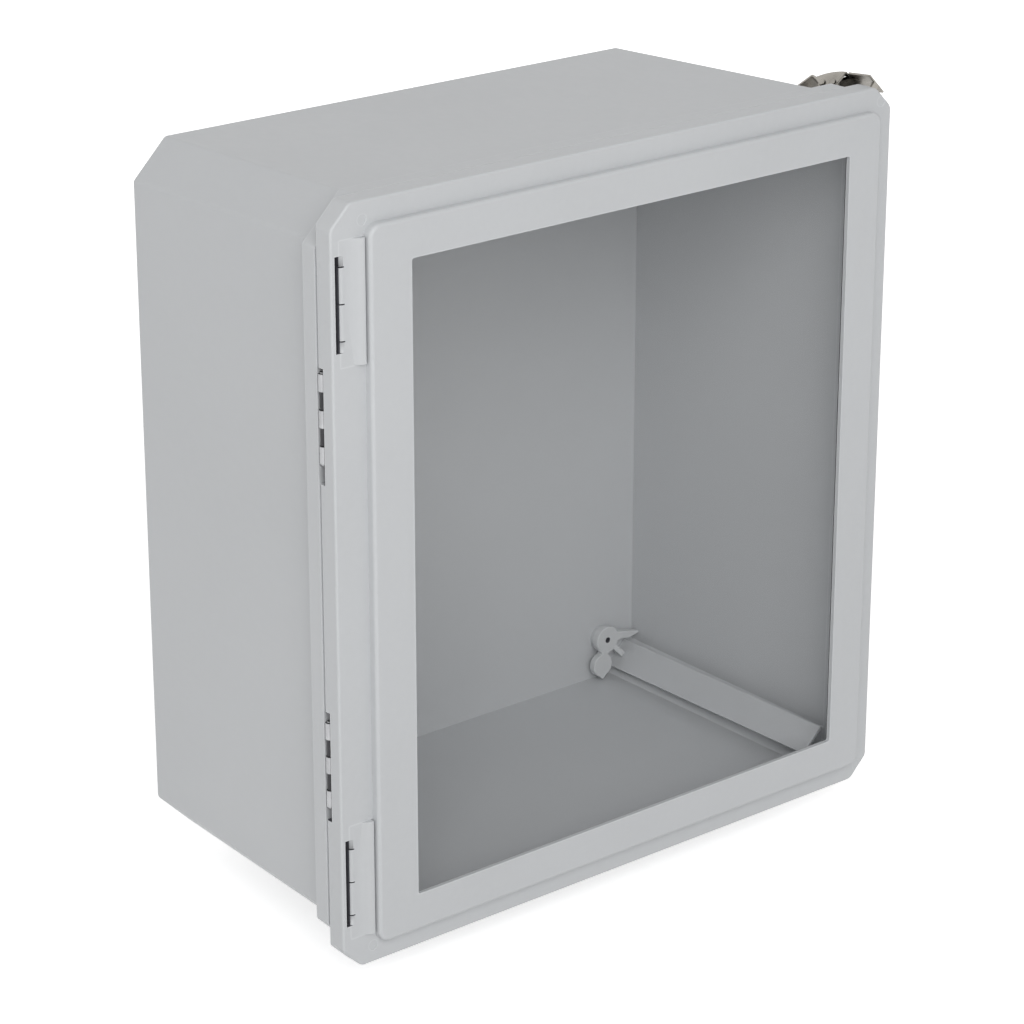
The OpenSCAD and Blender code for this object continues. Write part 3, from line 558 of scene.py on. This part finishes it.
def seen_directly(tree):
    """1 for rays from the camera, a mirror or through glass, 0 for light that falls on things."""
    path = tree.nodes.new("ShaderNodeLightPath")
    seen = path.outputs["Is Camera Ray"]
    for ray in ("Is Glossy Ray", "Is Transmission Ray"):
        either = tree.nodes.new("ShaderNodeMath")
        either.operation = "MAXIMUM"
        tree.links.new(seen, either.inputs[0])
        tree.links.new(path.outputs[ray], either.inputs[1])
        seen = either.outputs[0]
    return seen


floor_paint, floor_shader, _ = new_finish("floor_paint", (0.8, 0.8, 0.8, 1), roughness=0.9)
floor_lift = 0.62
lift = floor_paint.node_tree.nodes.new("ShaderNodeMath")
lift.operation = "MULTIPLY"
lift.inputs[1].default_value = floor_lift
floor_paint.node_tree.links.new(seen_directly(floor_paint.node_tree), lift.inputs[0])
floor_shader.inputs["Emission Color"].default_value = (1, 1, 1, 1)
feed(floor_paint, lift.outputs[0], floor_shader, "Emission Strength")
floor_mesh.materials.append(floor_paint)
print("floor at z =", round(floor_z, 4))

# %% [markdown]
# ## White room
# An even white room gives most of the light. It is dimmer for the light that falls on things than for
# the camera, which sees plain white.

# %% World
room_light, seen_white = 0.47, 1.0
world = bpy.data.worlds.new("white_room")
world.use_nodes = True
bpy.context.scene.world = world
room = world.node_tree.nodes["Background"]
room.inputs["Color"].default_value = (1, 1, 1, 1)
glow = world.node_tree.nodes.new("ShaderNodeMapRange")
glow.inputs["To Min"].default_value = room_light
glow.inputs["To Max"].default_value = seen_white
world.node_tree.links.new(seen_directly(world.node_tree), glow.inputs["Value"])
world.node_tree.links.new(glow.outputs["Result"], room.inputs["Strength"])
bpy.context.scene.view_settings.view_transform = "Standard"
print("world:", world.name)

# %% [markdown]
# ## Lamps
# A wide lamp near the camera makes the front the brightest side, and a weak second one at the left
# keeps the long side from going dull. Their powers were worked out from the tones of the three
# visible sides: top, left and front. A third lamp lights the back, which is only seen from behind. It
# is kept out of mirror reflections, since from the front it would lie as a broad glare on the top.

# %% Lamps
def lamp(name, toward, distance_m, power, size):
    """A square soft lamp in the direction toward, facing the middle of the object."""
    data = bpy.data.lights.new(name, "AREA")
    data.energy = power
    data.size = size
    light = bpy.data.objects.new(name, data)
    middle = (cad_low + cad_high) / 2
    light.location = middle + Vector(toward).normalized() * distance_m
    light.rotation_euler = (middle - light.location).to_track_quat("-Z", "Y").to_euler()
    bpy.context.scene.collection.objects.link(light)
    return light


front_lamp = lamp("front_lamp", (-0.46, -0.78, 0.48), distance_m=4.0, power=75.0, size=2.6)
side_lamp = lamp("side_lamp", (-1.0, -0.35, 0.25), distance_m=3.0, power=7.5, size=2.0)
back_lamp = lamp("back_lamp", (0.7, 1.0, 0.0), distance_m=3.0, power=26.0, size=2.0)
back_lamp.visible_glossy = False
print("lamps:", front_lamp.name, side_lamp.name, back_lamp.name)

# %% [markdown]
# ## Camera
# The camera stands to the left of the cover and a little above it, far away with a long lens.
# Its place was solved from the corners of the cover and the box in the photograph.

# %% Camera
azimuth, elevation = math.radians(-39.84), math.radians(20.71)
aim, distance = Vector((-0.0906, -0.2215, 0.0264)), 2.098
back = Vector((math.sin(azimuth) * math.cos(elevation),
               -math.cos(azimuth) * math.cos(elevation),
               math.sin(elevation)))
camera_data = bpy.data.cameras.new("camera")
camera_data.sensor_width = 36.0
camera_data.lens = 122.7
camera = bpy.data.objects.new("camera", camera_data)
camera.location = aim + back * distance
camera.rotation_euler = (-back).to_track_quat("-Z", "Y").to_euler()
bpy.context.scene.collection.objects.link(camera)
bpy.context.scene.camera = camera
print("camera at", [round(c, 3) for c in camera.location])
